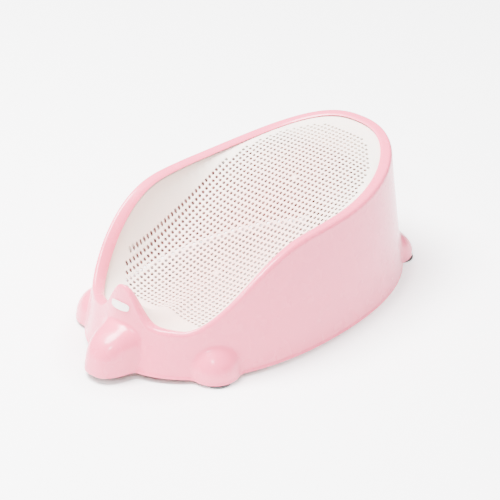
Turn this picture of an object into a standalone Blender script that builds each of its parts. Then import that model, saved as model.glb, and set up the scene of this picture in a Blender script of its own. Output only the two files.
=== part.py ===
"""Baby bath support shaped like a small animal, 580 mm long, 342 mm wide and 205 mm high.

A moulded shell, open below, has a head at the foot end and four paws. A soft reclined bed
lies inside its rolled rim on a stiff frame. Metres, +Z up, the foot end towards -Y; the
origin is on the ground under the middle of the length.
"""

import math

import bmesh
import bpy
from mathutils import Vector

# Outlines in plan: centre y, half width, reach to the foot end and to the head end, and
# the powers of the superellipse at the foot end and at the head end.
BASE_OUTLINE = (0.012, 0.171, 0.260, 0.278, 2.15, 2.2)
RIM_OUTLINE = (-0.008, 0.147, 0.220, 0.276, 2.5, 2.4)
BED_OUTLINE = (-0.008, 0.1325, 0.210, 0.2615, 2.5, 2.4)
NORMAL_STEP = 0.001

# Rim heights above the ground, and where it climbs, in degrees from the foot end
SCOOP_HEIGHT = 0.072
HUMP_HEIGHT = 0.125
HUMP_HALF_DEGREES = 6.6
HUMP_POWER = 1.9
SIDE_HEIGHT = 0.168
SIDE_CLIMB = (31.0, 92.0)
HEAD_END_HEIGHT = 0.205
HEAD_END_CLIMB = (100.0, 180.0)

# Shell wall, its rim as (distance inwards, drop below the rim), how much shorter and steeper
# the rim's lip is on the hump, how much deeper beside the scoops, and the lower edge
WALL = 0.0025
WALL_RISES = (0.0, 0.06, 0.12, 0.20, 0.28, 0.36, 0.45, 0.55, 0.66, 0.78, 0.90, 1.0)
ROLL_DROP = 0.009
ROLL_REACH = 0.0055
LIP_REACH = 0.0175
RIM_ROLL = ((0.0013, 0.0035), (ROLL_REACH, 0.0), (0.0125, 0.0002), (LIP_REACH, 0.0022))
HUMP_LIP_REACH = 0.68
HUMP_LIP_DROP = 0.006
LIP_EXTRA = 0.012
LIP_EXTRA_DEGREES = 55.0
LIP_EXTRA_HALF_WIDTH = 22.0
LIP_EXTRA_POWER = 1.3
EDGE_AT_SIDES = 0.006
EDGE_AT_ENDS = 0.010
EDGE_POWER = 8
SHELL_STEPS = 120
SHELL_ROUGHNESS = 0.28

# Head and paws are domes on the wall: how far they reach out, half width, the height where
# they are widest, their top, and how far below the widest height they would close
HEAD_REACH = 0.0433
HEAD_HALF_WIDTH = 0.036
HEAD_POWER = 3.0
HEAD_MIDDLE = 0.022
HEAD_RISE_POWER = 3.2
HEAD_TOP = 0.068
HEAD_UNDER = 0.026
FRONT_PAW_REACH = 0.0195
REAR_PAW_REACH = 0.019
FRONT_PAW_HALF_WIDTH = 0.0325
REAR_PAW_HALF_WIDTH = 0.0295
PAW_MIDDLE = 0.016
PAW_RISE_POWER = 2.0
PAW_TOP = 0.047
PAW_UNDER = 0.036
PAW_EDGE = 0.0046
PAW_EDGE_REACH = (0.3, 1.6)
PAW_NEAR_WALL = 0.06
FAR_FROM_PAW = 100.0
DOME_FILLET = 0.12
DOME_FADE = -0.5
DOME_POWER = 0.65
REAR_POWER = 1.25
PAW_TURNS = {
    "front_right": math.radians(46.2),
    "rear_right": math.radians(153.5),
    "rear_left": math.radians(206.5),
    "front_left": math.radians(313.8),
}

# Bed: height of its centre line as (y, z), and how its sides curl up to the rim
BED_SPINE = ((-0.230, 0.040), (-0.150, 0.039), (-0.080, 0.055), (0.0, 0.090),
             (0.100, 0.147), (0.170, 0.1755), (0.245, 0.190))
BED_DROP = 0.0060
BED_HUMP_DROP = 0.0045
BED_BOWL = 0.27
CURL_AT_SIDES = 9.6
CURL_AT_ENDS = 6.0
BED_STEPS = 96
BED_STEP = 0.004
BED_ROUGHNESS = 0.55
PANEL_THICKNESS = 0.0022
PANEL_REACHES = (1.0, 0.96, 0.91, 0.84, 0.74, 0.58, 0.38, 0.18)
FRAME_THICKNESS = 0.003
FRAME_GAP = 0.0014
FRAME_OUTER_REACH = 0.955
FRAME_INNER_REACH = 0.905
FRAME_ROWS = 5
FRAME_ROUGHNESS = 0.35
FOOT_PLATE_Y = -0.140
HEAD_PLATE_Y = 0.186
NO_SPAN = 0.001

# Badge on the front of the hump
BADGE_HALF_WIDTH = 0.0165
BADGE_HEIGHT = 0.0955
BADGE_HALF_HEIGHT = 0.0056
BADGE_SQUARENESS = 0.62
BADGE_THICKNESS = 0.0012
BADGE_GAP = 0.0009
BADGE_RINGS = (1.0, 0.7, 0.35)
BADGE_STEPS = 32
BADGE_STEP = 0.0005
BADGE_ROUGHNESS = 0.25

# Rubber foot under each paw: a plug inside the paw above a flange
FOOT_PROFILE = ((0.0, 0.0105), (0.0122, 0.0105), (0.0134, 0.0093), (0.0134, 0.003),
                (0.0185, 0.003), (0.0185, 0.0008), (0.0177, 0.0), (0.0, 0.0))
FOOT_STEPS = 24
FOOT_MERGE = 0.00005
FOOT_ROUGHNESS = 0.8

SHELL_PINK = (0.86, 0.54, 0.58, 1.0)
BED_WHITE = (0.88, 0.86, 0.83, 1.0)
FRAME_WHITE = (0.87, 0.87, 0.86, 1.0)
BADGE_WHITE = (0.90, 0.89, 0.88, 1.0)
FOOT_GREY = (0.30, 0.30, 0.31, 1.0)


def clear_scene():
    for obj in list(bpy.data.objects):
        bpy.data.objects.remove(obj, do_unlink=True)


def make_collection(name):
    collection = bpy.data.collections.new(name)
    bpy.context.scene.collection.children.link(collection)
    return collection


def make_material(name, colour, roughness, metallic=0.0):
    material = bpy.data.materials.new(name)
    material.use_nodes = True
    shader = material.node_tree.nodes["Principled BSDF"]
    shader.inputs["Base Color"].default_value = colour
    shader.inputs["Roughness"].default_value = roughness
    shader.inputs["Metallic"].default_value = metallic
    return material


def ease(value, start, end):
    """Smooth step from 0 at start to 1 at end."""
    share = min(max((value - start) / (end - start), 0.0), 1.0)
    return share * share * (3.0 - 2.0 * share)


def bell(distance, half_width, power):
    """1 at the middle, one half at half_width, and soon 0 beyond."""
    return math.exp(-math.log(2.0) * abs(distance / half_width) ** power)


def degrees_from_foot_end(turn):
    return math.degrees(math.acos(math.cos(turn)))


def outline(shape, turn):
    """Plan point of an outline; turn 0 is the foot end, a quarter turn the +X side."""
    centre, half_width, foot_reach, head_reach, foot_power, head_power = shape
    side, along = math.sin(turn), math.cos(turn)
    reach, power = (foot_reach, foot_power) if along > 0.0 else (head_reach, head_power)
    x = half_width * math.copysign(abs(side) ** (2.0 / power), side)
    y = centre - math.copysign(reach * abs(along) ** (2.0 / power), along)
    return Vector((x, y, 0.0))


def outward(shape, turn):
    """Unit normal of an outline in plan, pointing away from its inside."""
    tangent = outline(shape, turn + NORMAL_STEP) - outline(shape, turn - NORMAL_STEP)
    return Vector((tangent.y, -tangent.x, 0.0)).normalized()


def hump_share(turn):
    """1 on top of the hump, 0 from the scoops on."""
    return bell(degrees_from_foot_end(turn), HUMP_HALF_DEGREES, HUMP_POWER)


def rim_height(turn):
    """Rim: a hump at the foot end between two low scoops, level sides, a high head end."""
    degrees = degrees_from_foot_end(turn)
    hump = (HUMP_HEIGHT - SCOOP_HEIGHT) * hump_share(turn)
    side = (SIDE_HEIGHT - SCOOP_HEIGHT) * ease(degrees, *SIDE_CLIMB)
    head = (HEAD_END_HEIGHT - SIDE_HEIGHT) * ease(degrees, *HEAD_END_CLIMB)
    return SCOOP_HEIGHT + hump + side + head


def dome(share, power):
    """Height of a dome: share is 1 at its middle, 0 at its rim and negative outside."""
    soft = 0.5 * (share + math.sqrt(share * share + DOME_FILLET ** 2))
    return soft ** power * ease(share, DOME_FADE, 0.0)


def upright_share(height, middle, top, under, power):
    """Part of a dome's share that is lost away from its widest height."""
    reach = top - middle if height > middle else under
    return abs((height - middle) / reach) ** power


def head_push(point):
    if point.y > 0.0:
        return Vector((0.0, 0.0, 0.0))
    across = abs(point.x / HEAD_HALF_WIDTH) ** HEAD_POWER
    lost = upright_share(point.z, HEAD_MIDDLE, HEAD_TOP, HEAD_UNDER, HEAD_RISE_POWER)
    share = 1.0 - across - lost
    return Vector((0.0, -HEAD_REACH * dome(share, DOME_POWER), 0.0))


def paw_across(point, turn):
    """Square of the distance along the wall from a paw's middle, in paw half widths."""
    foot = outline(BASE_OUTLINE, turn)
    normal = outward(BASE_OUTLINE, turn)
    offset = Vector((point.x - foot.x, point.y - foot.y, 0.0))
    if abs(offset.dot(normal)) > PAW_NEAR_WALL:
        return FAR_FROM_PAW
    half_width = FRONT_PAW_HALF_WIDTH if math.cos(turn) > 0.0 else REAR_PAW_HALF_WIDTH
    return ((normal.x * offset.y - normal.y * offset.x) / half_width) ** 2


def paw_push(point):
    push = Vector((0.0, 0.0, 0.0))
    lost = upright_share(point.z, PAW_MIDDLE, PAW_TOP, PAW_UNDER, PAW_RISE_POWER)
    for turn in PAW_TURNS.values():
        reach, power = FRONT_PAW_REACH, DOME_POWER
        if math.cos(turn) < 0.0:
            reach, power = REAR_PAW_REACH, REAR_POWER
        size = dome(1.0 - paw_across(point, turn) - lost, power)
        push += outward(BASE_OUTLINE, turn) * (reach * size)
    return push


def edge_height(turn):
    """Lower edge of the wall: lifted between the paws, most of all at the two ends."""
    height = EDGE_AT_SIDES + (EDGE_AT_ENDS - EDGE_AT_SIDES) * math.cos(turn) ** EDGE_POWER
    foot = outline(BASE_OUTLINE, turn)
    across = min(paw_across(foot, paw) for paw in PAW_TURNS.values())
    return PAW_EDGE + (height - PAW_EDGE) * ease(across, *PAW_EDGE_REACH)


def lip_extra(turn):
    """Added depth of the lip beside the scoops, where the rim climbs."""
    degrees = degrees_from_foot_end(turn) - LIP_EXTRA_DEGREES
    return LIP_EXTRA * bell(degrees, LIP_EXTRA_HALF_WIDTH, 2.0)


def roll_point(turn, inwards, drop):
    """Point of the rim, whose lip is shorter and steeper on the hump."""
    share = hump_share(turn)
    reach = inwards * (1.0 - (1.0 - HUMP_LIP_REACH) * share)
    lip_share = max((inwards - ROLL_REACH) / (LIP_REACH - ROLL_REACH), 0.0)
    point = outline(RIM_OUTLINE, turn) - outward(RIM_OUTLINE, turn) * reach
    point.z = rim_height(turn) - drop - HUMP_LIP_DROP * share * (inwards / LIP_REACH) ** 2
    point.z -= lip_extra(turn) * lip_share ** LIP_EXTRA_POWER
    return point


def wall_point(turn, rise):
    """Outer wall of the shell from its lower edge, rise 0, to the rim's roll, rise 1."""
    low, high = outline(BASE_OUTLINE, turn), outline(RIM_OUTLINE, turn)
    bottom, top = edge_height(turn), roll_point(turn, 0.0, ROLL_DROP).z
    point = low.lerp(high, rise)
    point.z = bottom + (top - bottom) * rise
    return point + head_push(point) + paw_push(point)


def spine_height(y):
    """Height of the bed's centre line, a smooth curve through the spine's points."""
    count = len(BED_SPINE)
    index = 0
    while index < count - 2 and y > BED_SPINE[index + 1][0]:
        index += 1

    def slope(at):
        before, after = BED_SPINE[max(at - 1, 0)], BED_SPINE[min(at + 1, count - 1)]
        return (after[1] - before[1]) / (after[0] - before[0])

    (y0, z0), (y1, z1) = BED_SPINE[index], BED_SPINE[index + 1]
    width = y1 - y0
    share = min(max((y - y0) / width, 0.0), 1.0)
    square, cube = share * share, share ** 3
    return (z0 * (2 * cube - 3 * square + 1) + slope(index) * width * (cube - 2 * square + share)
            + z1 * (3 * square - 2 * cube) + slope(index + 1) * width * (cube - square))


def bed_surface(turn, reach):
    """Top of the bed; reach is 0 at its middle and 1 at its outline."""
    centre = Vector((0.0, BED_OUTLINE[0], 0.0))
    point = centre.lerp(outline(BED_OUTLINE, turn), reach)
    along = math.cos(turn)
    power = CURL_AT_SIDES + (CURL_AT_ENDS - CURL_AT_SIDES) * along * along
    line = spine_height(point.y)
    edge = rim_height(turn) - BED_DROP - BED_HUMP_DROP * hump_share(turn) - lip_extra(turn)
    share = BED_BOWL * reach ** 2 + (1.0 - BED_BOWL) * reach ** power
    point.z = line + (edge - line) * share
    return point


def bed_point(turn, reach, depth):
    """Point below the bed's top by depth, measured square to the surface."""
    around = bed_surface(turn + BED_STEP, reach) - bed_surface(turn - BED_STEP, reach)
    inwards = bed_surface(turn, reach - BED_STEP) - bed_surface(turn, reach + BED_STEP)
    return bed_surface(turn, reach) - around.cross(inwards).normalized() * depth


def turns(steps):
    return [math.tau * index / steps for index in range(steps)]


def make_loft(name, rows, collection, middle=None):
    """Surface through closed rows of points, the last one filled to a middle point."""
    mesh = bmesh.new()
    rings = [[mesh.verts.new(point) for point in row] for row in rows]
    steps = len(rings[0])
    for low, high in zip(rings, rings[1:]):
        for index in range(steps):
            after = (index + 1) % steps
            mesh.faces.new((low[index], low[after], high[after], high[index]))
    if middle is not None:
        centre = mesh.verts.new(middle)
        for index in range(steps):
            mesh.faces.new((rings[-1][index], rings[-1][(index + 1) % steps], centre))
    data = bpy.data.meshes.new(name)
    mesh.to_mesh(data)
    mesh.free()
    data.shade_smooth()
    obj = bpy.data.objects.new(name, data)
    collection.objects.link(obj)
    return obj


def thicken(obj, thickness, side):
    """Solidify the surface; side -1 keeps it as the outer face, 1 as the inner one."""
    modifier = obj.modifiers.new("Thickness", "SOLIDIFY")
    modifier.thickness = thickness
    modifier.offset = side
    modifier.use_even_offset = True


def make_shell(collection):
    around = turns(SHELL_STEPS)
    rows = [[wall_point(turn, rise) for turn in around] for rise in WALL_RISES]
    for inwards, drop in RIM_ROLL:
        rows.append([roll_point(turn, inwards, drop) for turn in around])
    shell = make_loft("outer_shell", rows, collection)
    thicken(shell, WALL, -1.0)
    shell.data.materials.append(make_material("shell pink", SHELL_PINK, SHELL_ROUGHNESS))


def make_bed_panel(collection):
    around = turns(BED_STEPS)
    rows = [[bed_surface(turn, reach) for turn in around] for reach in PANEL_REACHES]
    middle = Vector((0.0, BED_OUTLINE[0], spine_height(BED_OUTLINE[0])))
    panel = make_loft("bed_panel", rows, collection, middle)
    thicken(panel, PANEL_THICKNESS, -1.0)
    panel.data.materials.append(make_material("soft white", BED_WHITE, BED_ROUGHNESS))


def frame_inner_reach(turn):
    """Inner edge of the frame: a band at the sides, a straight-edged plate at each end."""
    centre = BED_OUTLINE[0]
    span = outline(BED_OUTLINE, turn).y - centre
    plate = FOOT_PLATE_Y if span < 0.0 else HEAD_PLATE_Y
    if abs(span) < NO_SPAN:
        return FRAME_INNER_REACH
    return min((plate - centre) / span, FRAME_INNER_REACH)


def make_bed_frame(collection):
    depth = PANEL_THICKNESS + FRAME_GAP
    rows = []
    for row in range(FRAME_ROWS):
        share = row / (FRAME_ROWS - 1)
        points = []
        for turn in turns(BED_STEPS):
            inner = frame_inner_reach(turn)
            reach = FRAME_OUTER_REACH + (inner - FRAME_OUTER_REACH) * share
            points.append(bed_point(turn, reach, depth))
        rows.append(points)
    frame = make_loft("bed_frame", rows, collection)
    thicken(frame, FRAME_THICKNESS, -1.0)
    frame.data.materials.append(make_material("stiff white", FRAME_WHITE, FRAME_ROUGHNESS))


def badge_wall(x, height):
    """Point of the shell's wall at a distance from the middle and a height."""
    power = RIM_OUTLINE[4] / 2.0
    turn = math.copysign(math.asin(abs(x / RIM_OUTLINE[1]) ** power), x)
    bottom, top = edge_height(turn), roll_point(turn, 0.0, ROLL_DROP).z
    return wall_point(turn, (height - bottom) / (top - bottom))


def badge_point(across, up):
    """Point over the wall at the badge, clear of it by the badge's gap."""
    x, height = across * BADGE_HALF_WIDTH, BADGE_HEIGHT + up * BADGE_HALF_HEIGHT
    around = badge_wall(x + BADGE_STEP, height) - badge_wall(x - BADGE_STEP, height)
    upwards = badge_wall(x, height + BADGE_STEP) - badge_wall(x, height - BADGE_STEP)
    return badge_wall(x, height) + around.cross(upwards).normalized() * BADGE_GAP


def badge_corner(turn):
    """Outline of the badge as (across, up): an oval squared off towards a rounded bar."""
    across, up = math.sin(turn), -math.cos(turn)
    return (math.copysign(abs(across) ** BADGE_SQUARENESS, across),
            math.copysign(abs(up) ** BADGE_SQUARENESS, up))


def make_badge(collection):
    rows = []
    for ring in BADGE_RINGS:
        corners = [badge_corner(turn) for turn in turns(BADGE_STEPS)]
        rows.append([badge_point(ring * across, ring * up) for across, up in corners])
    badge = make_loft("front_badge", rows, collection, badge_point(0.0, 0.0))
    thicken(badge, BADGE_THICKNESS, 1.0)
    badge.data.materials.append(make_material("badge white", BADGE_WHITE, BADGE_ROUGHNESS))


def make_foot(paw, turn, material, collection):
    """Turned rubber foot under one paw, its axis on the wall's lower outline."""
    mesh = bmesh.new()
    points = [mesh.verts.new((radius, 0.0, height)) for radius, height in FOOT_PROFILE]
    for upper, lower in zip(points, points[1:]):
        mesh.edges.new((upper, lower))
    data = bpy.data.meshes.new(paw + "_foot")
    mesh.to_mesh(data)
    mesh.free()
    foot = bpy.data.objects.new(paw + "_foot", data)
    collection.objects.link(foot)
    foot.location = outline(BASE_OUTLINE, turn)
    screw = foot.modifiers.new("Turn", "SCREW")
    screw.steps = FOOT_STEPS
    screw.render_steps = FOOT_STEPS
    screw.use_merge_vertices = True
    screw.merge_threshold = FOOT_MERGE
    foot.data.materials.append(material)


def main():
    clear_scene()
    collection = make_collection("baby_bath_support")
    make_shell(collection)
    make_bed_frame(collection)
    make_bed_panel(collection)
    make_badge(collection)
    rubber = make_material("foot rubber", FOOT_GREY, FOOT_ROUGHNESS)
    for paw, turn in PAW_TURNS.items():
        make_foot(paw, turn, rubber, collection)


main()
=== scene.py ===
import math

import bmesh
import bpy
from mathutils import Matrix, Vector
from mathutils.geometry import delaunay_2d_cdt


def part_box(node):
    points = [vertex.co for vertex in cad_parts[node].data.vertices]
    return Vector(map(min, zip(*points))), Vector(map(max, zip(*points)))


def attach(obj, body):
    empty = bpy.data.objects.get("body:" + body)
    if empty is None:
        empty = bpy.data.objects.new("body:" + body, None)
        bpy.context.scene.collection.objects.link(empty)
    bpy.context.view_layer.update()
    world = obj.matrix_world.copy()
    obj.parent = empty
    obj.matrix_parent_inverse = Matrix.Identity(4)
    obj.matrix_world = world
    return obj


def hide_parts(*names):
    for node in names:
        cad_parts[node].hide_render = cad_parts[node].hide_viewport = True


# Baby bath support: a glossy pink shell with a small head and four paws, a soft white
# perforated bed inside its rolled rim, the stiff frame under that bed, a blank badge and
# grey rubber feet. The foot end points towards -Y.

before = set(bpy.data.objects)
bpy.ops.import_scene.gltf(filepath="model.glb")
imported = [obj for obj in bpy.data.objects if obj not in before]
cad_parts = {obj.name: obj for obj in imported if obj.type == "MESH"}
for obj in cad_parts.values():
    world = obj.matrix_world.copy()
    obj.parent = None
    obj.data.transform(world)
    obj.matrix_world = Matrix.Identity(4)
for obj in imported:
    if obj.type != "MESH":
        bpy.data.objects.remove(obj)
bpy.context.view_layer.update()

# ------------------------------------------------------------------ driving dimensions

# Lengths are in metres. Turns and degrees run round the bath from its foot end.

# Outlines in plan: centre y, half width, reach to the foot end and to the head end, and
# the powers of the superellipse at the foot end and at the head end
BASE_OUTLINE = (0.012, 0.171, 0.260, 0.278, 2.15, 2.2)
RIM_OUTLINE = (-0.008, 0.147, 0.220, 0.276, 2.5, 2.4)
BED_OUTLINE = (-0.008, 0.1325, 0.210, 0.2615, 2.5, 2.4)

# Short steps that find a normal: round an outline, over the bed, and, in metres, over the
# wall behind the badge
NORMAL_STEP = 0.001
BED_PROBE = 0.004
BADGE_PROBE = 0.0005

# Height of the rim: the hump, the scoops beside it, the sides and the head end; the climbs
# are given in degrees
SCOOP_HEIGHT = 0.072
HUMP_HEIGHT = 0.125
HUMP_HALF_DEGREES = 6.6
HUMP_POWER = 1.9
SIDE_HEIGHT = 0.168
SIDE_CLIMB = (31.0, 92.0)
HEAD_END_HEIGHT = 0.205
HEAD_END_CLIMB = (100.0, 180.0)

# Section of the rim: a rounded shoulder, a flat top, and a lip that drops to the bed.
# Reaches are inwards from the rim's outline, drops are below its height.
ROLL_REACH = 0.0055
ROLL_DROP = 0.009
FLAT_REACH = 0.0125
FLAT_DROP = 0.0002
LIP_REACH = 0.0175
LIP_DROP = 0.0022
SHOULDER_STEPS = 8
FLAT_STEPS = 4
LIP_STEPS = 7

# The lip is deeper beside the scoops, and shorter and steeper on the hump
LIP_EXTRA = 0.012
LIP_EXTRA_DEGREES = 55.0
LIP_EXTRA_HALF_DEGREES = 22.0
LIP_EXTRA_POWER = 2.0
LIP_EXTRA_CURVE = 1.3
HUMP_LIP_REACH = 0.68
HUMP_LIP_DROP = 0.006

# Wall of the shell, its lower edge, and the bead along that edge: above the bead the wall
# is set back, and less so towards the rim
WALL = 0.0025
WALL_ROUNDING = 0.0008
WALL_ROWS = 56
EDGE_AT_SIDES = 0.006
EDGE_AT_ENDS = 0.010
EDGE_POWER = 8
BEAD_HEIGHT = 0.0034
BEAD_DEPTH = 0.0009
BEAD_STEP_START = 0.6
BEAD_FADE_POWER = 4
BEAD_RISES = (0.0, 0.005, 0.010, 0.015, 0.020, 0.03)

# Head and paws are domes on the wall: how far they reach out, half width, the height where
# they are widest, their top, and how far below the widest height they would close
HEAD_REACH = 0.0433
HEAD_HALF_WIDTH = 0.036
HEAD_ACROSS_POWER = 3.0
HEAD_MIDDLE = 0.022
HEAD_RISE_POWER = 3.2
HEAD_TOP = 0.068
HEAD_UNDER = 0.026
FRONT_PAW_REACH = 0.0195
REAR_PAW_REACH = 0.019
FRONT_PAW_HALF_WIDTH = 0.0325
REAR_PAW_HALF_WIDTH = 0.0295
PAW_MIDDLE = 0.016
PAW_RISE_POWER = 2.0
PAW_TOP = 0.047
PAW_UNDER = 0.036
PAW_TURNS = {
    "front_right": math.radians(46.2),
    "rear_right": math.radians(153.5),
    "rear_left": math.radians(206.5),
    "front_left": math.radians(313.8),
}

# Swell of a dome: its power, the rear paws' own, and the fillet at its rim
DOME_POWER = 0.65
REAR_POWER = 1.25
DOME_FILLET = 0.12
DOME_END = -0.5

# The wall's lower edge dips to the paws within this reach, as a squared share of their width
PAW_EDGE = 0.0046
PAW_EDGE_REACH = (0.3, 1.6)

# A paw acts only near the wall and not beyond this lost share; the last value stands for
# any point further away
PAW_NEAR_WALL = 0.06
BEYOND_DOME = 2.0
FAR_FROM_PAW = 100.0

# Bed: its centre line as (y, height), its drop below the rim, how far it bowls up towards
# its outline, and the powers of the curl at its edge
BED_SPINE = ((-0.230, 0.040), (-0.150, 0.039), (-0.080, 0.055), (0.0, 0.090),
             (0.100, 0.147), (0.170, 0.1755), (0.245, 0.190))
BED_DROP = 0.0052
BED_HUMP_DROP = 0.0045
BED_BOWL = 0.27
CURL_AT_SIDES = 9.6
CURL_AT_ENDS = 6.0
PANEL_THICKNESS = 0.0022

# Frame under the bed: a ring, with a plate across each end
FRAME_THICKNESS = 0.003
FRAME_ROUNDING = 0.0006
FRAME_GAP = 0.0014
FRAME_OUTER_REACH = 0.955
FRAME_INNER_REACH = 0.905
FRAME_ROWS = 22
FOOT_PLATE_Y = -0.140
HEAD_PLATE_Y = 0.186
SMALLEST_SPAN = 0.001

# Square grid of holes. Its field is an oval with a straight foot end, trimmed corners at
# that end and a taper towards the head end.
HOLE_PITCH = 0.00706
HOLE_RADIUS = 0.0022
HOLE_BEVEL = 0.00045
HOLE_BEVEL_DEPTH = 0.2
HOLE_SIDES = 12
HOLES_FIRST_ROW = -0.044
HOLE_COLUMNS = range(-20, 21)
HOLE_ROWS = range(-20, 45)
HOLE_FIELD_HALF = (0.1195, 0.229)
HOLE_FIELD_POWER = 2.5
HOLE_FIELD_FRONT = -0.137
HOLE_FIELD_APEX = 0.262
HOLE_FIELD_TAPER = 1.4
HOLE_FIELD_CORNER = 0.222

# Gate marks stand in for holes on the axis: their rows, and the stub from its foot to its
# top as (radius, height as a share of the bed's thickness)
GATE_ROWS = (0, 23)
GATE_STUB = ((0.0026, 0.0), (0.0022, 0.14), (0.0012, 0.18))

# Flat sheet of the bed round the holes, its rounded rim, and the form it is laid on
BED_RIM_REACH = 0.994
BED_RIM_DEPTHS = (-0.25, -0.75)
BORDER_RINGS = 33
BORDER_RING_STEP = 0.022
BORDER_FINE_REACH = 0.7
BORDER_FINE_STRIDE = 3
BORDER_COARSE_STRIDE = 5
TRIANGLE_TOLERANCE = 1e-7
WELD_DISTANCE = 0.00005
FORM_OVERHANG = [1.03, 1.015]
FORM_ROWS = 80
FORM_ROW_STEP = 0.0125

# Badge: its face runs from its edge to its middle as (share of the outline, drop below the
# top), with a raised border round a shallow field
BADGE_HALF_WIDTH = 0.0165
BADGE_HEIGHT = 0.0955
BADGE_HALF_HEIGHT = 0.0056
BADGE_SQUARENESS = 0.62
BADGE_GAP = 0.0006
BADGE_THICKNESS = 0.0012
BADGE_LOWER_ROUNDING = 0.0002
BADGE_UNDER_REACHES = (0.12, 0.3, 0.5, 0.7, 0.9, 0.99)
BADGE_FACE = ((1.0, 0.0004), (0.985, 0.0001), (0.96, 0.0), (0.93, 0.0), (0.90, 0.0001),
              (0.88, 0.0004), (0.7, 0.0004), (0.5, 0.0004), (0.3, 0.0004), (0.12, 0.0004))

# Rubber feet: grip grooves as (outwards, upwards), a rounded flange, and a plug
GROOVES = 3
GROOVE_START = 0.004
GROOVE_PITCH = 0.0042
GROOVE_SECTION = ((0.0, 0.0), (0.0005, 0.0006), (0.0014, 0.0006), (0.0019, 0.0))
FLANGE_ROUNDING = 0.0009
FLANGE_ROUND_STEPS = 6
FLANGE_HEIGHT = 0.003
FLANGE_CHAMFER = 0.0004
PLUG_STEP = 0.0051
PLUG_FILLET = (0.0003, 0.0004)
PLUG_SHOULDER = ((0.0, 0.0012), (0.0004, 0.0003), (0.0012, 0.0))
FOOT_SHARP_DEGREES = 40.0

# Points round one ring of each piece
SHELL_STEPS = 720
BED_STEPS = 360
BADGE_STEPS = 96
FOOT_STEPS = 72

# Colours, as linear RGB
SHELL_PINK = (0.94, 0.145, 0.265)
SHELL_PINK_DEEP = (0.92, 0.13, 0.24)
# Inner faces of the shell: a duller, greyer copy of the pink, painted shade of the hollow under
# the bed
SHELL_INSIDE_PAINTED_SHADE = (0.66, 0.38, 0.36)
SHELL_INSIDE_PAINTED_SHADE_DEEP = (0.60, 0.33, 0.31)
BED_WHITE = (0.92, 0.84, 0.76)
BED_WHITE_WARM = (0.92, 0.82, 0.73)
# Pinkish shade painted on the bed's middle, for the shaded hollow under its holes
BED_PAINTED_SHADE = (0.94, 0.60, 0.53)
FRAME_WHITE = (0.84, 0.835, 0.82)
BADGE_WHITE = (0.86, 0.85, 0.84)
RUBBER_GREY = (0.055, 0.055, 0.058)
RUBBER_DUST = (0.11, 0.105, 0.10)

# Painted shade on the bed: a pinkish darkening, strongest at its middle, gone a little outside
# this oval
PAINTED_SHADE_HALF = (0.115, 0.235)
PAINTED_SHADE_END = 1.2
PAINTED_SHADE_SLOPE = 0.9


# ------------------------------------------------------------------ the object's shape

def ease(value, start, end):
    """Smooth step from 0 at start to 1 at end."""
    share = min(max((value - start) / (end - start), 0.0), 1.0)
    return share * share * (3.0 - 2.0 * share)


def bell(distance, half_width, power):
    """1 at the middle, one half at half_width, and soon 0 beyond."""
    return math.exp(-math.log(2.0) * abs(distance / half_width) ** power)


def degrees_from_foot_end(turn):
    return math.degrees(math.acos(math.cos(turn)))


def outline(shape, turn):
    """Plan point of an outline; turn 0 is the foot end, a quarter turn the +X side."""
    centre, half_width, foot_reach, head_reach, foot_power, head_power = shape
    side, along = math.sin(turn), math.cos(turn)
    reach, power = (foot_reach, foot_power) if along > 0.0 else (head_reach, head_power)
    x = half_width * math.copysign(abs(side) ** (2.0 / power), side)
    y = centre - math.copysign(reach * abs(along) ** (2.0 / power), along)
    return Vector((x, y, 0.0))


def outward(shape, turn):
    """Unit normal of an outline in plan, pointing away from its inside."""
    tangent = outline(shape, turn + NORMAL_STEP) - outline(shape, turn - NORMAL_STEP)
    return Vector((tangent.y, -tangent.x, 0.0)).normalized()


def hump_share(turn):
    """1 on top of the hump, 0 from the scoops on."""
    return bell(degrees_from_foot_end(turn), HUMP_HALF_DEGREES, HUMP_POWER)


def rim_height(turn):
    """Rim: a hump at the foot end between two low scoops, level sides, a high head end."""
    degrees = degrees_from_foot_end(turn)
    hump = (HUMP_HEIGHT - SCOOP_HEIGHT) * hump_share(turn)
    side = (SIDE_HEIGHT - SCOOP_HEIGHT) * ease(degrees, *SIDE_CLIMB)
    head = (HEAD_END_HEIGHT - SIDE_HEIGHT) * ease(degrees, *HEAD_END_CLIMB)
    return SCOOP_HEIGHT + hump + side + head


def lip_extra(turn):
    """Added depth of the lip beside the scoops, where the rim climbs."""
    distance = degrees_from_foot_end(turn) - LIP_EXTRA_DEGREES
    return LIP_EXTRA * bell(distance, LIP_EXTRA_HALF_DEGREES, LIP_EXTRA_POWER)


def dome(share, power):
    """Height of a dome: share is 1 at its middle, 0 at its rim and negative outside."""
    soft = 0.5 * (share + math.sqrt(share * share + DOME_FILLET ** 2))
    return soft ** power * ease(share, DOME_END, 0.0)


def upright_share(height, middle, top, under, power):
    """Part of a dome's share that is lost away from its widest height."""
    reach = top - middle if height > middle else under
    return abs((height - middle) / reach) ** power


def head_push(point):
    """How far the head lifts a point of the wall."""
    if point.y > 0.0:
        return Vector((0.0, 0.0, 0.0))
    across = abs(point.x / HEAD_HALF_WIDTH) ** HEAD_ACROSS_POWER
    lost = upright_share(point.z, HEAD_MIDDLE, HEAD_TOP, HEAD_UNDER, HEAD_RISE_POWER)
    share = 1.0 - across - lost
    return Vector((0.0, -HEAD_REACH * dome(share, DOME_POWER), 0.0))


def paw_across(point, turn):
    """Square of the distance along the wall from a paw's middle, in paw half widths."""
    foot = outline(BASE_OUTLINE, turn)
    normal = outward(BASE_OUTLINE, turn)
    offset = Vector((point.x - foot.x, point.y - foot.y, 0.0))
    if abs(offset.dot(normal)) > PAW_NEAR_WALL:
        return FAR_FROM_PAW
    half_width = FRONT_PAW_HALF_WIDTH if math.cos(turn) > 0.0 else REAR_PAW_HALF_WIDTH
    return ((normal.x * offset.y - normal.y * offset.x) / half_width) ** 2


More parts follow.
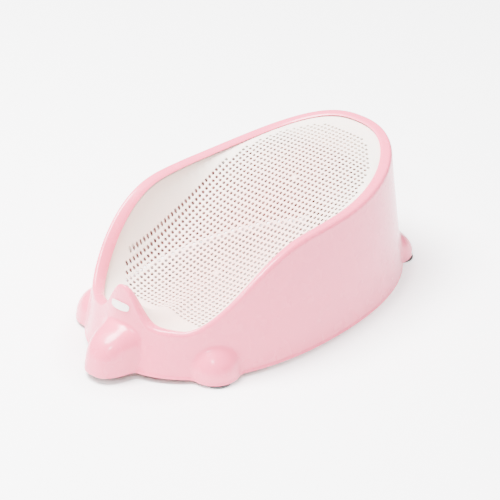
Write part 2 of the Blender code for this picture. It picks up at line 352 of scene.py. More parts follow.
def paw_push(point):
    """How far the paws lift a point of the wall."""
    push = Vector((0.0, 0.0, 0.0))
    lost = upright_share(point.z, PAW_MIDDLE, PAW_TOP, PAW_UNDER, PAW_RISE_POWER)
    if lost > BEYOND_DOME:
        return push
    for turn in PAW_TURNS.values():
        reach, power = FRONT_PAW_REACH, DOME_POWER
        if math.cos(turn) < 0.0:
            reach, power = REAR_PAW_REACH, REAR_POWER
        size = dome(1.0 - paw_across(point, turn) - lost, power)
        push += outward(BASE_OUTLINE, turn) * (reach * size)
    return push


def edge_height(turn):
    """Lower edge of the wall: lifted between the paws, most of all at the two ends."""
    height = EDGE_AT_SIDES + (EDGE_AT_ENDS - EDGE_AT_SIDES) * math.cos(turn) ** EDGE_POWER
    foot = outline(BASE_OUTLINE, turn)
    across = min(paw_across(foot, paw) for paw in PAW_TURNS.values())
    return PAW_EDGE + (height - PAW_EDGE) * ease(across, *PAW_EDGE_REACH)


def roll_point(turn, inwards, drop):
    """Point of the rim's roll, whose lip is shorter and steeper on the hump."""
    share = hump_share(turn)
    reach = inwards * (1.0 - (1.0 - HUMP_LIP_REACH) * share)
    point = outline(RIM_OUTLINE, turn) - outward(RIM_OUTLINE, turn) * reach
    point.z = rim_height(turn) - drop - HUMP_LIP_DROP * share * (inwards / LIP_REACH) ** 2
    return point


def wall_point(turn, rise, bottom):
    """Outer wall of the shell from its lower edge, rise 0, to the rim's roll, rise 1."""
    low, high = outline(BASE_OUTLINE, turn), outline(RIM_OUTLINE, turn)
    top = roll_point(turn, 0.0, ROLL_DROP).z
    point = low.lerp(high, rise)
    point.z = bottom + (top - bottom) * rise
    return point + head_push(point) + paw_push(point)


def spine_height(y):
    """Height of the bed's centre line, a smooth curve through the spine's points."""
    count = len(BED_SPINE)
    index = 0
    while index < count - 2 and y > BED_SPINE[index + 1][0]:
        index += 1

    def slope(at):
        before, after = BED_SPINE[max(at - 1, 0)], BED_SPINE[min(at + 1, count - 1)]
        return (after[1] - before[1]) / (after[0] - before[0])

    (y0, z0), (y1, z1) = BED_SPINE[index], BED_SPINE[index + 1]
    width = y1 - y0
    share = min(max((y - y0) / width, 0.0), 1.0)
    square, cube = share * share, share ** 3
    return (z0 * (2 * cube - 3 * square + 1) + slope(index) * width * (cube - 2 * square + share)
            + z1 * (3 * square - 2 * cube) + slope(index + 1) * width * (cube - square))


def bed_surface(turn, reach):
    """Top of the bed; reach is 0 at its middle and 1 at its outline."""
    centre = Vector((0.0, BED_OUTLINE[0], 0.0))
    point = centre.lerp(outline(BED_OUTLINE, turn), reach)
    along = math.cos(turn)
    power = CURL_AT_SIDES + (CURL_AT_ENDS - CURL_AT_SIDES) * along * along
    line = spine_height(point.y)
    edge = rim_height(turn) - BED_DROP - BED_HUMP_DROP * hump_share(turn) - lip_extra(turn)
    share = BED_BOWL * reach ** 2 + (1.0 - BED_BOWL) * reach ** power
    point.z = line + (edge - line) * share
    return point


def bed_point(turn, reach, depth):
    """Point below the bed's top by depth, measured square to the surface."""
    around = bed_surface(turn + BED_PROBE, reach) - bed_surface(turn - BED_PROBE, reach)
    inwards = bed_surface(turn, reach - BED_PROBE) - bed_surface(turn, reach + BED_PROBE)
    return bed_surface(turn, reach) - around.cross(inwards).normalized() * depth


# ------------------------------------------------------------------ mesh helpers

def turns(steps):
    return [math.tau * index / steps for index in range(steps)]


def link_mesh(name, mesh):
    """Object from a bmesh, smooth, at the origin."""
    data = bpy.data.meshes.new(name)
    mesh.to_mesh(data)
    mesh.free()
    data.shade_smooth()
    obj = bpy.data.objects.new(name, data)
    bpy.context.scene.collection.objects.link(obj)
    return obj


def bridge(mesh, rings):
    """Faces between neighbouring closed rings of vertices."""
    for low, high in zip(rings, rings[1:]):
        for index in range(len(low)):
            after = (index + 1) % len(low)
            mesh.faces.new((low[index], low[after], high[after], high[index]))


def make_loft(name, rows, middle=None):
    """Surface through closed rows of points, the last row filled to a middle point."""
    mesh = bmesh.new()
    rings = [[mesh.verts.new(point) for point in row] for row in rows]
    bridge(mesh, rings)
    if middle is not None:
        last, centre = rings[-1], mesh.verts.new(middle)
        for index in range(len(last)):
            mesh.faces.new((last[index], last[(index + 1) % len(last)], centre))
    return link_mesh(name, mesh)


def thicken(obj, thickness, rounding, inner_slot=0):
    """Solidify the surface inwards, round its cut edges, and make the result a plain mesh."""
    solidify = obj.modifiers.new("Thickness", "SOLIDIFY")
    solidify.thickness = thickness
    solidify.offset = -1.0
    solidify.use_even_offset = True
    solidify.material_offset = inner_slot
    bevel = obj.modifiers.new("Rounded edges", "BEVEL")
    bevel.width = rounding
    bevel.segments = 3
    bevel.limit_method = "ANGLE"
    bevel.angle_limit = math.radians(50.0)
    apply_modifiers(obj)


def apply_modifiers(obj):
    """Give the object its evaluated mesh and no modifiers."""
    depsgraph = bpy.context.evaluated_depsgraph_get()
    data = bpy.data.meshes.new_from_object(obj.evaluated_get(depsgraph))
    obj.modifiers.clear()
    obj.data = data
    data.name = obj.name


def close_ends(obj):
    """Fill the openings of a surface and turn its faces outwards."""
    mesh = bmesh.new()
    mesh.from_mesh(obj.data)
    bmesh.ops.holes_fill(mesh, edges=[edge for edge in mesh.edges if edge.is_boundary])
    bmesh.ops.recalc_face_normals(mesh, faces=mesh.faces)
    mesh.to_mesh(obj.data)
    mesh.free()


# ------------------------------------------------------------------ node helpers

def add_node(tree, kind, settings, inputs):
    """A node of that type; its settings come first, then its sockets' values or links."""
    node = tree.nodes.new(kind)
    for name, value in settings.items():
        setattr(node, name, value)
    for key, value in inputs.items():
        if isinstance(value, bpy.types.NodeSocket):
            tree.links.new(value, node.inputs[key])
        else:
            node.inputs[key].default_value = value
    return node


class Value:
    """A shader socket that Python's operators turn into Math nodes."""

    def __init__(self, maker, socket):
        self.maker, self.socket = maker, socket

    def _math(self, operation, first, second):
        return self.maker.node("ShaderNodeMath", {"operation": operation}, {0: first, 1: second})

    def __add__(self, other):
        return self._math("ADD", self, other)

    def __radd__(self, other):
        return self._math("ADD", other, self)

    def __sub__(self, other):
        return self._math("SUBTRACT", self, other)

    def __rsub__(self, other):
        return self._math("SUBTRACT", other, self)

    def __mul__(self, other):
        return self._math("MULTIPLY", self, other)

    def __truediv__(self, other):
        return self._math("DIVIDE", self, other)

    def clamped(self):
        return self.maker.node("ShaderNodeClamp", {}, {0: self, 1: 0.0, 2: 1.0})


class Finish:
    """One material: its Principled shader, and nodes made with one method."""

    def __init__(self, name, colour, **constants):
        self.material = bpy.data.materials.new(name)
        self.material.use_nodes = True
        self.tree = self.material.node_tree
        self.shader = self.tree.nodes["Principled BSDF"]
        self.shader.inputs["Base Color"].default_value = (*colour, 1.0)
        for socket, value in constants.items():
            self.shader.inputs[socket.replace("_", " ")].default_value = value

    def node(self, kind, settings, inputs, output=0):
        """One output of a new node; its inputs are other nodes' outputs or plain values."""
        sockets = {key: value.socket if isinstance(value, Value) else value
                   for key, value in inputs.items()}
        return Value(self, add_node(self.tree, kind, settings, sockets).outputs[output])

    def place(self):
        """Position on the object, in metres."""
        return self.node("ShaderNodeTexCoord", {}, {}, "Object")

    def oval(self, half_width, half_length):
        """0 on the upright axis and 1 on an upright oval tube round it."""
        x, y = (self.node("ShaderNodeSeparateXYZ", {}, {0: self.place()}, axis) for axis in (0, 1))
        return x * x / half_width ** 2 + y * y / half_length ** 2

    def noise(self, scale, detail=2.0):
        inputs = {"Vector": self.place(), "Scale": scale, "Detail": detail}
        return self.node("ShaderNodeTexNoise", {}, inputs)

    def mix(self, share, first, second):
        """Colour between two colours; first and second are RGB or another mix."""
        settings = {"data_type": "RGBA", "clamp_factor": True}
        inputs = {0: share}
        for key, colour in ((6, first), (7, second)):
            inputs[key] = colour if isinstance(colour, Value) else (*colour, 1.0)
        return self.node("ShaderNodeMix", settings, inputs, 2)

    def uneven(self, least, added, scale, detail):
        """A value that a noise raises from its least."""
        return least + self.noise(scale, detail) * added

    def grain(self, depth, scale, detail=2.0):
        """Normal of a surface with fine bumps of that depth in metres."""
        inputs = {"Height": self.noise(scale, detail), "Distance": depth}
        return self.node("ShaderNodeBump", {}, inputs)

    def feed(self, **links):
        for socket, value in links.items():
            self.tree.links.new(value.socket, self.shader.inputs[socket.replace("_", " ")])
        return self.material


# ------------------------------------------------------------------ finishes

def shell_finish():
    """Pink polypropylene: satin gloss, faint mould mottling, softly orange-peeled surface."""
    finish = Finish("pink moulded plastic", SHELL_PINK, Roughness=0.26, IOR=1.49,
                    Subsurface_Weight=0.10, Subsurface_Scale=0.01,
                    Subsurface_Radius=(1.0, 0.5, 0.45),
                    Coat_Weight=0.25, Coat_Roughness=0.16)
    colour = finish.mix(finish.noise(6.0, 3.0), SHELL_PINK, SHELL_PINK_DEEP)
    return finish.feed(Base_Color=colour, Normal=finish.grain(depth=0.00004, scale=900.0),
                       Roughness=finish.uneven(0.22, 0.10, scale=35.0, detail=4.0))


def painted_shade_inside_finish():
    """Core side of the shell: the same plastic, matt, and coloured duller and greyer than its
    outside as painted shade.
    """
    finish = Finish("pink plastic inside", SHELL_INSIDE_PAINTED_SHADE, Roughness=0.6, IOR=1.49)
    colour = finish.mix(finish.noise(8.0, 3.0), SHELL_INSIDE_PAINTED_SHADE, SHELL_INSIDE_PAINTED_SHADE_DEEP)
    return finish.feed(Base_Color=colour, Normal=finish.grain(depth=0.00006, scale=1100.0),
                       Roughness=finish.uneven(0.52, 0.14, scale=40.0, detail=3.0))


def bed_finish():
    """Soft white elastomer: satin, finely matt-textured, with painted pinkish shade inside its
    border.
    """
    finish = Finish("soft white elastomer", BED_WHITE, Roughness=0.5, IOR=1.45,
                    Subsurface_Weight=0.15, Subsurface_Scale=0.004,
                    Subsurface_Radius=(1.0, 0.8, 0.7))
    white = finish.mix(finish.noise(9.0, 3.0), BED_WHITE, BED_WHITE_WARM)
    # Painted shade: the middle of the bed turns pinker and darker
    painted_shade = ((PAINTED_SHADE_END - finish.oval(*PAINTED_SHADE_HALF)) * PAINTED_SHADE_SLOPE).clamped()
    return finish.feed(Base_Color=finish.mix(painted_shade, white, BED_PAINTED_SHADE),
                       Normal=finish.grain(depth=0.00005, scale=1400.0),
                       Roughness=finish.uneven(0.42, 0.16, scale=60.0, detail=3.0))


def frame_finish():
    """Stiff white plastic with a fine spark-eroded texture."""
    finish = Finish("stiff white plastic", FRAME_WHITE, Roughness=0.4, IOR=1.49)
    colour = finish.mix(finish.noise(8.0), FRAME_WHITE, BED_WHITE_WARM)
    return finish.feed(Base_Color=colour, Normal=finish.grain(depth=0.00006, scale=1100.0),
                       Roughness=finish.uneven(0.36, 0.12, scale=50.0, detail=3.0))


def badge_finish():
    """Smooth white badge with a glossy face."""
    finish = Finish("badge white", BADGE_WHITE, Roughness=0.25, IOR=1.5,
                    Coat_Weight=0.5, Coat_Roughness=0.06)
    colour = finish.mix(finish.noise(40.0), BADGE_WHITE, BED_WHITE_WARM)
    return finish.feed(Base_Color=colour,
                       Roughness=finish.uneven(0.20, 0.12, scale=90.0, detail=3.0))


def foot_finish():
    """Grey non-slip rubber: matt, dusty in its pores."""
    finish = Finish("grey rubber", RUBBER_GREY, Roughness=0.8, IOR=1.52)
    dust = finish.noise(160.0, 5.0)
    return finish.feed(Base_Color=finish.mix(dust, RUBBER_GREY, RUBBER_DUST),
                       Normal=finish.grain(depth=0.00012, scale=1800.0, detail=3.0),
                       Roughness=0.68 + dust * 0.2)


# ------------------------------------------------------------------ pieces

def finish_piece(obj, material, slot, *nodes):
    """Give a piece its finish, and let it stand for its CAD nodes on the one body."""
    obj.data.materials.clear()
    obj.data.materials.append(material)
    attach(obj, "root")
    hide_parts(*nodes)
    return obj


def roll_profile():
    """Rim as (inwards, drop): a rounded shoulder, a flat top and a rounded inner edge."""
    profile = []
    for step in range(1, SHOULDER_STEPS + 1):
        angle = math.radians(90.0) * step / SHOULDER_STEPS
        profile.append((ROLL_REACH * (1.0 - math.cos(angle)), ROLL_DROP * (1.0 - math.sin(angle))))
    for step in range(1, FLAT_STEPS + 1):
        share = step / FLAT_STEPS
        profile.append((ROLL_REACH + (FLAT_REACH - ROLL_REACH) * share, FLAT_DROP * share))
    for step in range(1, LIP_STEPS + 1):
        share = step / LIP_STEPS
        profile.append((FLAT_REACH + (LIP_REACH - FLAT_REACH) * share,
                        FLAT_DROP + (LIP_DROP - FLAT_DROP) * share ** 2))
    return profile


def make_shell():
    around = turns(SHELL_STEPS)
    bottoms = [edge_height(turn) for turn in around]
    low, count = BEAD_RISES[-1], WALL_ROWS
    rises = [*BEAD_RISES, *(low + (1.0 - low) * row / count for row in range(1, count + 1))]
    rows = []
    for rise in rises:
        row = []
        for turn, bottom in zip(around, bottoms):
            point = wall_point(turn, rise, bottom)
            share = ease(point.z - bottom, BEAD_HEIGHT * BEAD_STEP_START, BEAD_HEIGHT)
            inset = BEAD_DEPTH * share * (1.0 - rise ** BEAD_FADE_POWER)
            row.append(point - outward(BASE_OUTLINE, turn) * inset)
        rows.append(row)
    for inwards, drop in roll_profile():
        share = min(max((inwards - ROLL_REACH) / (LIP_REACH - ROLL_REACH), 0.0), 1.0)
        share **= LIP_EXTRA_CURVE
        rows.append([roll_point(turn, inwards, drop + lip_extra(turn) * share) for turn in around])
    shell = make_loft("shell_moulding", rows)
    # The inner faces take the copy of the pink with painted shade
    outside, inside = shell_finish(), painted_shade_inside_finish()
    shell.data.materials.append(outside)
    shell.data.materials.append(inside)
    thicken(shell, WALL, WALL_ROUNDING, inner_slot=1)
    slots = [face.material_index for face in shell.data.polygons]
    finish_piece(shell, outside, "shell", "outer_shell")
    # That left the piece one finish: its inner faces get theirs back
    shell.data.materials.append(inside)
    shell.data.polygons.foreach_set("material_index", slots)
    return shell


def make_frame():
    depth = PANEL_THICKNESS + FRAME_GAP
    centre = BED_OUTLINE[0]
    rows = []
    for row in range(FRAME_ROWS):
        share = row / (FRAME_ROWS - 1)
        points = []
        for turn in turns(BED_STEPS):
            span = outline(BED_OUTLINE, turn).y - centre
            plate = FOOT_PLATE_Y if span < 0.0 else HEAD_PLATE_Y
            inner = FRAME_INNER_REACH
            if abs(span) > SMALLEST_SPAN:
                inner = min((plate - centre) / span, FRAME_INNER_REACH)
            reach = FRAME_OUTER_REACH + (inner - FRAME_OUTER_REACH) * share
            points.append(bed_point(turn, reach, depth))
        rows.append(points)
    ring = make_loft("bed_frame_moulding", rows)
    thicken(ring, FRAME_THICKNESS, FRAME_ROUNDING)
    return finish_piece(ring, frame_finish(), "frame", "bed_frame")


# The bed is drawn flat first: x and y in plan, z as a share of its thickness, 0 on top and
# -1 below. A node tree then lays that sheet on the bed's curved surface.

def cell_place(column, row):
    """Plan point at the middle of a grid cell."""
    return Vector((column * HOLE_PITCH, HOLES_FIRST_ROW + row * HOLE_PITCH))


def hole_cells():
    """Grid cells with a hole or a gate mark, as (column, row)."""
    cells = set()
    for column in HOLE_COLUMNS:
        for row in HOLE_ROWS:
            place = cell_place(column, row)
            across = abs(place.x / HOLE_FIELD_HALF[0]) ** HOLE_FIELD_POWER
            along = abs(place.y / HOLE_FIELD_HALF[1]) ** HOLE_FIELD_POWER
            tapered = abs(place.x) < (HOLE_FIELD_APEX - place.y) * HOLE_FIELD_TAPER
            trimmed = abs(place.x) - place.y < HOLE_FIELD_CORNER
            if across + along < 1.0 and place.y > HOLE_FIELD_FRONT and tapered and trimmed:
                cells.add((column, row))
    return cells


def square_ring(half):
    """Points round a square, one for each side of the hole, starting at a corner."""
    third = half * math.tan(math.pi / HOLE_SIDES)
    side = [(-half, -half), (-third, -half), (third, -half)]
    points = []
    for quarter in range(4):
        spin = Matrix.Rotation(math.radians(90.0) * quarter, 2)
        points += [spin @ Vector(point) for point in side]
    return points


def circle_ring(radius):
    """Points round a circle, the first towards the square's first corner."""
    start = math.radians(225.0)
    return [Vector((radius * math.cos(start + math.tau * index / HOLE_SIDES),
                    radius * math.sin(start + math.tau * index / HOLE_SIDES)))
            for index in range(HOLE_SIDES)]


def make_tile(name, rings, lid):
    """One cell of the sheet through rings of points; a lid closes its top and underside."""
    mesh = bmesh.new()
    loops = [[mesh.verts.new((point.x, point.y, height)) for point in ring]
             for ring, height in rings]
    bridge(mesh, loops)
    if lid:
        mesh.faces.new(loops[-1])
        under = [mesh.verts.new((point.x, point.y, -1.0)) for point in rings[0][0]]
        mesh.faces.new(list(reversed(under)))
    tile = link_mesh(name, mesh)
    tile.hide_render = True
    return tile


def make_holed_tile():
    edge = square_ring(HOLE_PITCH / 2)
    wide, narrow = circle_ring(HOLE_RADIUS + HOLE_BEVEL), circle_ring(HOLE_RADIUS)
    rings = [(edge, 0.0), (wide, 0.0), (narrow, -HOLE_BEVEL_DEPTH), (narrow, -1.0), (edge, -1.0)]
    return make_tile("holed_tile", rings, lid=False)


def make_gate_tile():
    """Gate mark: the cell is whole and carries a low round stub."""
    edge = square_ring(HOLE_PITCH / 2)
    rings = [(edge, 0.0), *((circle_ring(radius), height) for radius, height in GATE_STUB)]
    return make_tile("gate_tile", rings, lid=True)


def border_loop(cells):
    """Sides of cells that have no neighbour, each in three pieces, as pairs of plan points."""
    ring = square_ring(HOLE_PITCH / 2)
    per_side = HOLE_SIDES // 4
    sides = {(0, -1): 0, (1, 0): 1, (0, 1): 2, (-1, 0): 3}
    pieces = []
    for column, row in sorted(cells):
        middle = cell_place(column, row)
        for (right, up), side in sides.items():
            if (column + right, row + up) in cells:
                continue
            corners = [ring[(per_side * side + index) % HOLE_SIDES] + middle
                       for index in range(per_side + 1)]
            pieces += zip(corners, corners[1:])
    return pieces


def inside_cells(point, cells):
    """Whether the grid cell that holds a plan point is one of these."""
    row = round((point.y - HOLES_FIRST_ROW) / HOLE_PITCH)
    return (round(point.x / HOLE_PITCH), row) in cells


def border_layout(cells):
    """Plan points of the sheet's whole part, the edges to keep, and its rim's points."""
    points, index_of, edges = [], {}, []

    def index(point):
        key = (round(point.x, 6), round(point.y, 6))
        if key not in index_of:
            index_of[key] = len(points)
            points.append(Vector((point.x, point.y)))
        return index_of[key]

    centre = Vector((0.0, BED_OUTLINE[0]))
    outer = [outline(BED_OUTLINE, turn).xy for turn in turns(BED_STEPS)]
    rim = [index(centre.lerp(point, BED_RIM_REACH)) for point in outer]
    edges += zip(rim, rim[1:] + rim[:1])
    edges += [(index(first), index(second)) for first, second in border_loop(cells)]
    guard = {(column + right, row + up) for column, row in cells
             for right in (-1, 0, 1) for up in (-1, 0, 1)}
    for ring in range(1, BORDER_RINGS + 1):
        reach = BED_RIM_REACH - BORDER_RING_STEP * ring
        stride = BORDER_FINE_STRIDE if reach > BORDER_FINE_REACH else BORDER_COARSE_STRIDE
        for point in outer[::stride]:
            place = centre.lerp(point, reach)
            if not inside_cells(place, guard):
                index(place)
    return points, edges, rim


def make_border(cells):
    """Whole part of the sheet, between the outline and the stepped edge of the holes."""
    points, edges, rim = border_layout(cells)
    made, _, triangles = delaunay_2d_cdt(points, edges, [], 0, TRIANGLE_TOLERANCE)[:3]
    mesh = bmesh.new()
    top, under = ([mesh.verts.new((point.x, point.y, height)) for point in made]
                  for height in (0.0, -1.0))
    rim_loop = [made[corner] for corner in rim]
    for triangle in triangles:
        first, second, third = (made[corner] for corner in triangle)
        middle = (first + second + third) / 3
        if inside_cells(middle, cells) or not inside_loop(middle, rim_loop):
            continue
        order = list(triangle)
        if (second - first).cross(third - first) < 0.0:
            order.reverse()
        mesh.faces.new([top[corner] for corner in order])
        mesh.faces.new([under[corner] for corner in reversed(order)])
    rings = [[under[corner] for corner in rim]]
    for height in reversed(BED_RIM_DEPTHS):
        rings.append([mesh.verts.new((*outline(BED_OUTLINE, turn).xy, height))
                      for turn in turns(BED_STEPS)])
    rings.append([top[corner] for corner in rim])
    bridge(mesh, rings)
    loose = [vertex for vertex in mesh.verts if not vertex.link_faces]
    bmesh.ops.delete(mesh, geom=loose, context="VERTS")
    border = link_mesh("bed_border", mesh)
    border.hide_render = True
    return border


def inside_loop(point, loop):
    """Even-odd test of a plan point against a closed loop."""
    inside = False
    for first, second in zip(loop, loop[1:] + loop[:1]):
        if (first.y > point.y) != (second.y > point.y):
            share = (point.y - first.y) / (second.y - first.y)
            if point.x < first.x + share * (second.x - first.x):
                inside = not inside
    return inside


def make_points(name, cells):
    """A vertex at the middle of each cell."""
    mesh = bmesh.new()
    for column, row in sorted(cells):
        mesh.verts.new(cell_place(column, row).to_3d())
    return link_mesh(name, mesh)


def make_bed_form():
    """The curved surface that the flat sheet is laid on, a little wider than the bed."""
    reaches = FORM_OVERHANG + [1.0 - FORM_ROW_STEP * step for step in range(FORM_ROWS)]
    rows = [[bed_surface(turn, reach) for turn in turns(BED_STEPS)] for reach in reaches]
    middle = Vector((0.0, BED_OUTLINE[0], spine_height(BED_OUTLINE[0])))
    form = make_loft("bed_form", rows, middle)
    form.hide_render = True
    return form


def draped_sheet_tree():
    """Node tree: a tile on every point, whole borders added, all laid on a surface."""
    tree = bpy.data.node_groups.new("draped sheet", "GeometryNodeTree")
    kinds = {"Geometry": "Geometry", "Holed tile": "Object", "Gate tile": "Object",
             "Gate points": "Object", "Border": "Object", "Surface": "Object",
             "Thickness": "Float", "Weld distance": "Float", "Finish": "Material"}
    for name, kind in kinds.items():
        tree.interface.new_socket(name, in_out="INPUT", socket_type="NodeSocket" + kind)
    tree.interface.new_socket("Geometry", in_out="OUTPUT", socket_type="NodeSocketGeometry")
    given = tree.nodes.new("NodeGroupInput").outputs
    result = tree.nodes.new("NodeGroupOutput").inputs

    def add(kind, inputs, output=0, **settings):
        return add_node(tree, kind, settings, inputs).outputs[output]

    def object_geometry(name):
        return add("GeometryNodeObjectInfo", {"Object": given[name]}, "Geometry")

    def tiled(points, tile):
        spots = add("GeometryNodeMeshToPoints", {"Mesh": points})
        return add("GeometryNodeInstanceOnPoints", {"Points": spots, "Instance": tile})

    join = tree.nodes.new("GeometryNodeJoinGeometry")
    for geometry in (tiled(given["Geometry"], object_geometry("Holed tile")),
                     tiled(object_geometry("Gate points"), object_geometry("Gate tile")),
                     object_geometry("Border")):
        tree.links.new(geometry, join.inputs[0])
    flat = add("GeometryNodeRealizeInstances", {0: join.outputs[0]})
    flat = add("GeometryNodeMergeByDistance",
               {"Geometry": flat, "Distance": given["Weld distance"]})

    x, y, level = (add("ShaderNodeSeparateXYZ", {0: add("GeometryNodeInputPosition", {})}, axis)
                   for axis in (0, 1, 2))
    above = add("ShaderNodeCombineXYZ", {"X": x, "Y": y, "Z": 1.0})
    ray = {"Target Geometry": object_geometry("Surface"),
           "Attribute": add("GeometryNodeInputNormal", {}),
           "Source Position": above, "Ray Direction": (0.0, 0.0, -1.0), "Ray Length": 2.0}
    hit = add("GeometryNodeRaycast", ray, "Hit Position",
              data_type="FLOAT_VECTOR", mapping="INTERPOLATED")
    depth = add("ShaderNodeMath", {0: level, 1: given["Thickness"]}, operation="MULTIPLY")
    offset = add("ShaderNodeVectorMath", {0: hit.node.outputs["Attribute"], "Scale": depth},
                 operation="SCALE")
    laid = add("ShaderNodeVectorMath", {0: hit, 1: offset}, operation="ADD")
    sheet = add("GeometryNodeSetPosition", {"Geometry": flat, "Position": laid})
    sheet = add("GeometryNodeRealizeInstances", {0: sheet})
    sheet = add("GeometryNodeSetMaterial", {"Geometry": sheet, "Material": given["Finish"]})
    tree.links.new(sheet, result[0])
    return tree


def set_inputs(modifier, values):
    """Set a node modifier's inputs by their names, through their sockets' identifiers."""
    for item in modifier.node_group.interface.items_tree:
        if item.item_type == "SOCKET" and item.in_out == "INPUT" and item.name in values:
            modifier[item.identifier] = values[item.name]


def make_bed():
    cells = hole_cells()
    gates = {(0, row) for row in GATE_ROWS}
    helpers = {
        "Holed tile": make_holed_tile(),
        "Gate tile": make_gate_tile(),
        "Gate points": make_points("gate_points", gates),
        "Border": make_border(cells),
        "Surface": make_bed_form(),
    }
    material = bed_finish()
    bed = make_points("bed_sheet", cells - gates)
    drape = bed.modifiers.new("Draped sheet", "NODES")
    drape.node_group = draped_sheet_tree()
    sizes = {"Thickness": PANEL_THICKNESS, "Weld distance": WELD_DISTANCE, "Finish": material}
    set_inputs(drape, {**helpers, **sizes})
    apply_modifiers(bed)
    bed.data.shade_smooth()
    for helper in helpers.values():
        bpy.data.objects.remove(helper, do_unlink=True)
    return finish_piece(bed, material, "bed", "bed_panel")


def badge_point(across, up, lift):
    """Point over the wall at the badge, lifted clear of it."""

    def wall(x, height):
        power = RIM_OUTLINE[4] / 2.0
        turn = math.copysign(math.asin(abs(x / RIM_OUTLINE[1]) ** power), x)
        bottom, top = edge_height(turn), roll_point(turn, 0.0, ROLL_DROP).z
        return wall_point(turn, (height - bottom) / (top - bottom), bottom)

    x, height = across * BADGE_HALF_WIDTH, BADGE_HEIGHT + up * BADGE_HALF_HEIGHT
    around = wall(x + BADGE_PROBE, height) - wall(x - BADGE_PROBE, height)
    upwards = wall(x, height + BADGE_PROBE) - wall(x, height - BADGE_PROBE)
    return wall(x, height) + around.cross(upwards).normalized() * lift


def badge_corner(turn):
    """Outline of the badge as (across, up): an oval squared off towards a rounded bar."""
    across, up = math.sin(turn), -math.cos(turn)
    return (math.copysign(abs(across) ** BADGE_SQUARENESS, across),
            math.copysign(abs(up) ** BADGE_SQUARENESS, up))


def make_badge():
    """Blank badge with a raised border round a shallow field."""
    base, top = BADGE_GAP, BADGE_GAP + BADGE_THICKNESS
    profile = [(reach, base) for reach in BADGE_UNDER_REACHES]
    profile.append((1.0, base + BADGE_LOWER_ROUNDING))
    profile += [(reach, top - drop) for reach, drop in BADGE_FACE]
    corners = [badge_corner(turn) for turn in turns(BADGE_STEPS)]
    rows = [[badge_point(reach * across, reach * up, lift) for across, up in corners]
            for reach, lift in profile]
    badge = make_loft("badge", rows)
    close_ends(badge)
    badge.data.shade_smooth()
    return finish_piece(badge, badge_finish(), "badge", "front_badge")


def foot_profile(bottom, top, flange, plug):
    """Half section of a foot as (radius, height), from its grooves below to its plug's top."""
    profile = []
    for groove in range(GROOVES):
        inner = GROOVE_START + GROOVE_PITCH * groove
        profile += [(inner + outwards, bottom + up) for outwards, up in GROOVE_SECTION]
    for step in range(FLANGE_ROUND_STEPS + 1):
        angle = math.radians(90.0) * step / FLANGE_ROUND_STEPS
        profile.append((flange - FLANGE_ROUNDING * (1.0 - math.sin(angle)),
                        bottom + FLANGE_ROUNDING * (1.0 - math.cos(angle))))
    shoulder = bottom + FLANGE_HEIGHT
    profile += [(flange, shoulder - FLANGE_CHAMFER), (flange - FLANGE_CHAMFER, shoulder)]
    profile += [(plug + PLUG_FILLET[0], shoulder), (plug, shoulder + PLUG_FILLET[1])]
    profile += [(plug - inwards, top - down) for inwards, down in PLUG_SHOULDER]
    return profile


def make_foot(node, material):
    """Turned rubber foot, as large as its CAD node, with concentric grip grooves."""
    low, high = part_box(node)
    middle = (low + high) / 2
    flange = (high.x - low.x) / 2
    profile = foot_profile(low.z, high.z, flange, flange - PLUG_STEP)
    rows = [[Vector((middle.x + radius * math.cos(turn), middle.y + radius * math.sin(turn), z))
             for turn in turns(FOOT_STEPS)] for radius, z in profile]
    foot = make_loft(node.replace("_foot", "_rubber_foot"), rows,
                     Vector((middle.x, middle.y, high.z)))
    close_ends(foot)
    foot.data.set_sharp_from_angle(angle=math.radians(FOOT_SHARP_DEGREES))
    return finish_piece(foot, material, "foot", node)


# ------------------------------------------------------------------ studio

CAMERA_AZIMUTH = math.radians(43.1)
CAMERA_ELEVATION = math.radians(29.0)
CAMERA_DISTANCE = 3.651
CAMERA_TARGET = Vector((0.0286, -0.0044, 0.100))
CAMERA_LENS = 187.2

WHITE = (1.0, 1.0, 1.0)
BLACK = (0.0, 0.0, 0.0)
WORLD_STRENGTH = 0.9
FLOOR_REACH = 6.0
FLOOR_COLOUR = (0.93, 0.93, 0.93)
FLOOR_GLOW = 1.8

# Oval under the bath where the floor doesn't glow, a painted shadow: the glow sets in at its edge
SHADE_HALF = (0.165, 0.275)
SHADE_END = 0.9
SHADE_FADE = 0.5

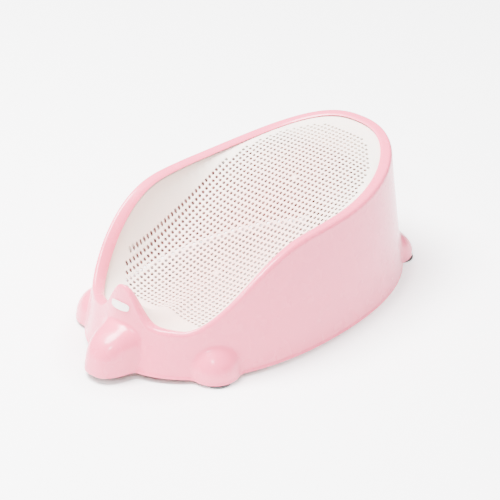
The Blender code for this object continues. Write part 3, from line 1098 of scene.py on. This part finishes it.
# Round lights, aimed at one point: place, diameter, and power in watts
LIGHT_TARGET = Vector((0.0, 0.0, 0.1))
LIGHTS = {
    "key": ((-0.7, -0.6, 2.6), 1.6, 480.0),
    "front highlight": ((1.2, -1.8, 2.1), 0.2, 50.0),
    "rear fill": ((0.6, 2.0, 1.8), 1.4, 8.0),
}


def make_camera():
    camera = bpy.data.cameras.new("camera")
    camera.lens = CAMERA_LENS
    camera.sensor_width = 36.0
    camera.clip_end = 20.0
    obj = bpy.data.objects.new("camera", camera)
    flat = math.cos(CAMERA_ELEVATION)
    back = Vector((math.sin(CAMERA_AZIMUTH) * flat, -math.cos(CAMERA_AZIMUTH) * flat,
                   math.sin(CAMERA_ELEVATION)))
    obj.location = CAMERA_TARGET + back * CAMERA_DISTANCE
    obj.rotation_euler = back.to_track_quat("Z", "Y").to_euler()
    bpy.context.scene.collection.objects.link(obj)
    bpy.context.scene.camera = obj


def make_light(name, place, diameter, power):
    light = bpy.data.lights.new(name, "AREA")
    light.shape = "DISK"
    light.size = diameter
    light.energy = power
    obj = bpy.data.objects.new(name, light)
    obj.location = place
    obj.rotation_euler = (Vector(place) - LIGHT_TARGET).to_track_quat("Z", "Y").to_euler()
    bpy.context.scene.collection.objects.link(obj)


def floor_finish():
    """Pale backlit floor: it glows around the bath, and not in the painted shadow under it."""
    finish = Finish("pale floor", FLOOR_COLOUR, Roughness=0.7, Emission_Strength=FLOOR_GLOW)
    # Painted shadow: no glow inside the oval under the bath
    glow = ((finish.oval(*SHADE_HALF) - SHADE_END) / SHADE_FADE).clamped()
    return finish.feed(Emission_Color=finish.mix(glow, BLACK, WHITE))


def make_studio():
    mesh = bmesh.new()
    bmesh.ops.create_grid(mesh, x_segments=2, y_segments=2, size=FLOOR_REACH)
    floor = link_mesh("floor", mesh)
    floor.data.materials.append(floor_finish())
    world = bpy.data.worlds.new("pale studio")
    world.use_nodes = True
    background = world.node_tree.nodes["Background"]
    background.inputs["Color"].default_value = (*WHITE, 1.0)
    background.inputs["Strength"].default_value = WORLD_STRENGTH
    bpy.context.scene.world = world
    for name, (place, diameter, power) in LIGHTS.items():
        make_light(name, place, diameter, power)


def main():
    make_camera()
    make_studio()
    make_shell()
    make_bed()
    make_frame()
    make_badge()
    rubber = foot_finish()
    for paw in PAW_TURNS:
        make_foot(paw + "_foot", rubber)


main()
